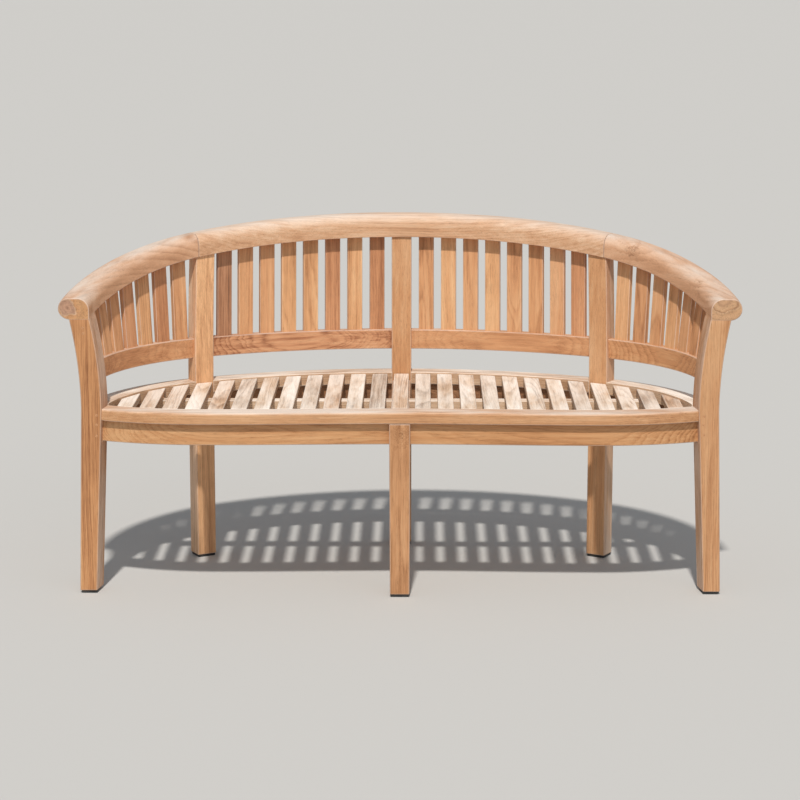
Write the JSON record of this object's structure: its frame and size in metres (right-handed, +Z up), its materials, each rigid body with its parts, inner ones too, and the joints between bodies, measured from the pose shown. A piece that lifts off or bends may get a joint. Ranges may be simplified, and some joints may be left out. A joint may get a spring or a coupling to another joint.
{
  "type": "garden bench",
  "caption": "Slatted teak garden bench with a bowed back whose top rail runs down into the arms, flared front legs, a slatted seat and feet on plastic glides.",
  "frame": {"origin": "middle of the bench's bounding box, on the ground", "axes": "+Z up, +X along the bench, the sitter faces -Y"},
  "size_m": [1.602, 0.6175, 0.851],
  "materials": {
    "teak_pale": "bare sanded teak, sun bleached",
    "teak_honey": "bare sanded teak",
    "teak_gold": "bare sanded teak",
    "black_plastic": "moulded, matt"
  },
  "bodies": {
    "root": {"back_slat_01": "teak_honey", "back_slat_02": "teak_honey", "back_slat_03": "teak_honey", "back_slat_04": "teak_honey", "back_slat_05": "teak_honey", "back_slat_06": "teak_honey", "back_slat_07": "teak_honey", "back_slat_08": "teak_honey", "back_slat_09": "teak_honey", "back_slat_10": "teak_honey", "back_slat_11": "teak_honey", "back_slat_12": "teak_honey", "back_slat_13": "teak_honey", "back_slat_14": "teak_honey", "back_slat_15": "teak_honey", "back_slat_16": "teak_honey", "back_slat_17": "teak_honey", "back_slat_18": "teak_honey", "back_slat_19": "teak_honey", "back_slat_20": "teak_honey", "back_slat_21": "teak_honey", "back_slat_22": "teak_honey", "back_slat_23": "teak_honey", "back_slat_24": "teak_honey", "back_slat_25": "teak_honey", "back_slat_26": "teak_honey", "back_slat_27": "teak_honey", "back_slat_28": "teak_honey", "cross_rail": "teak_gold", "front_apron_left": "teak_gold", "front_apron_right": "teak_gold", "front_leg_centre": "teak_gold", "front_leg_left": "teak_gold", "front_leg_right": "teak_gold", "glide_front_leg_centre": "black_plastic", "glide_front_leg_left": "black_plastic", "glide_front_leg_right": "black_plastic", "glide_rear_post_centre": "black_plastic", "glide_rear_post_left": "black_plastic", "glide_rear_post_right": "black_plastic", "lower_back_rail_left_centre": "teak_gold", "lower_back_rail_left_side": "teak_gold", "lower_back_rail_right_centre": "teak_gold", "lower_back_rail_right_side": "teak_gold", "rear_apron_left_centre": "teak_gold", "rear_apron_left_side": "teak_gold", "rear_apron_right_centre": "teak_gold", "rear_apron_right_side": "teak_gold", "rear_post_centre": "teak_gold", "rear_post_left": "teak_gold", "rear_post_right": "teak_gold", "seat_front_rail": "teak_gold", "seat_rear_rail_left_centre": "teak_gold", "seat_rear_rail_left_side": "teak_gold", "seat_rear_rail_right_centre": "teak_gold", "seat_rear_rail_right_side": "teak_gold", "seat_slats_with_bearer": "teak_pale", "top_rail_centre": "teak_honey", "top_rail_left": "teak_honey", "top_rail_right": "teak_honey"}
  },
  "joints": []
}
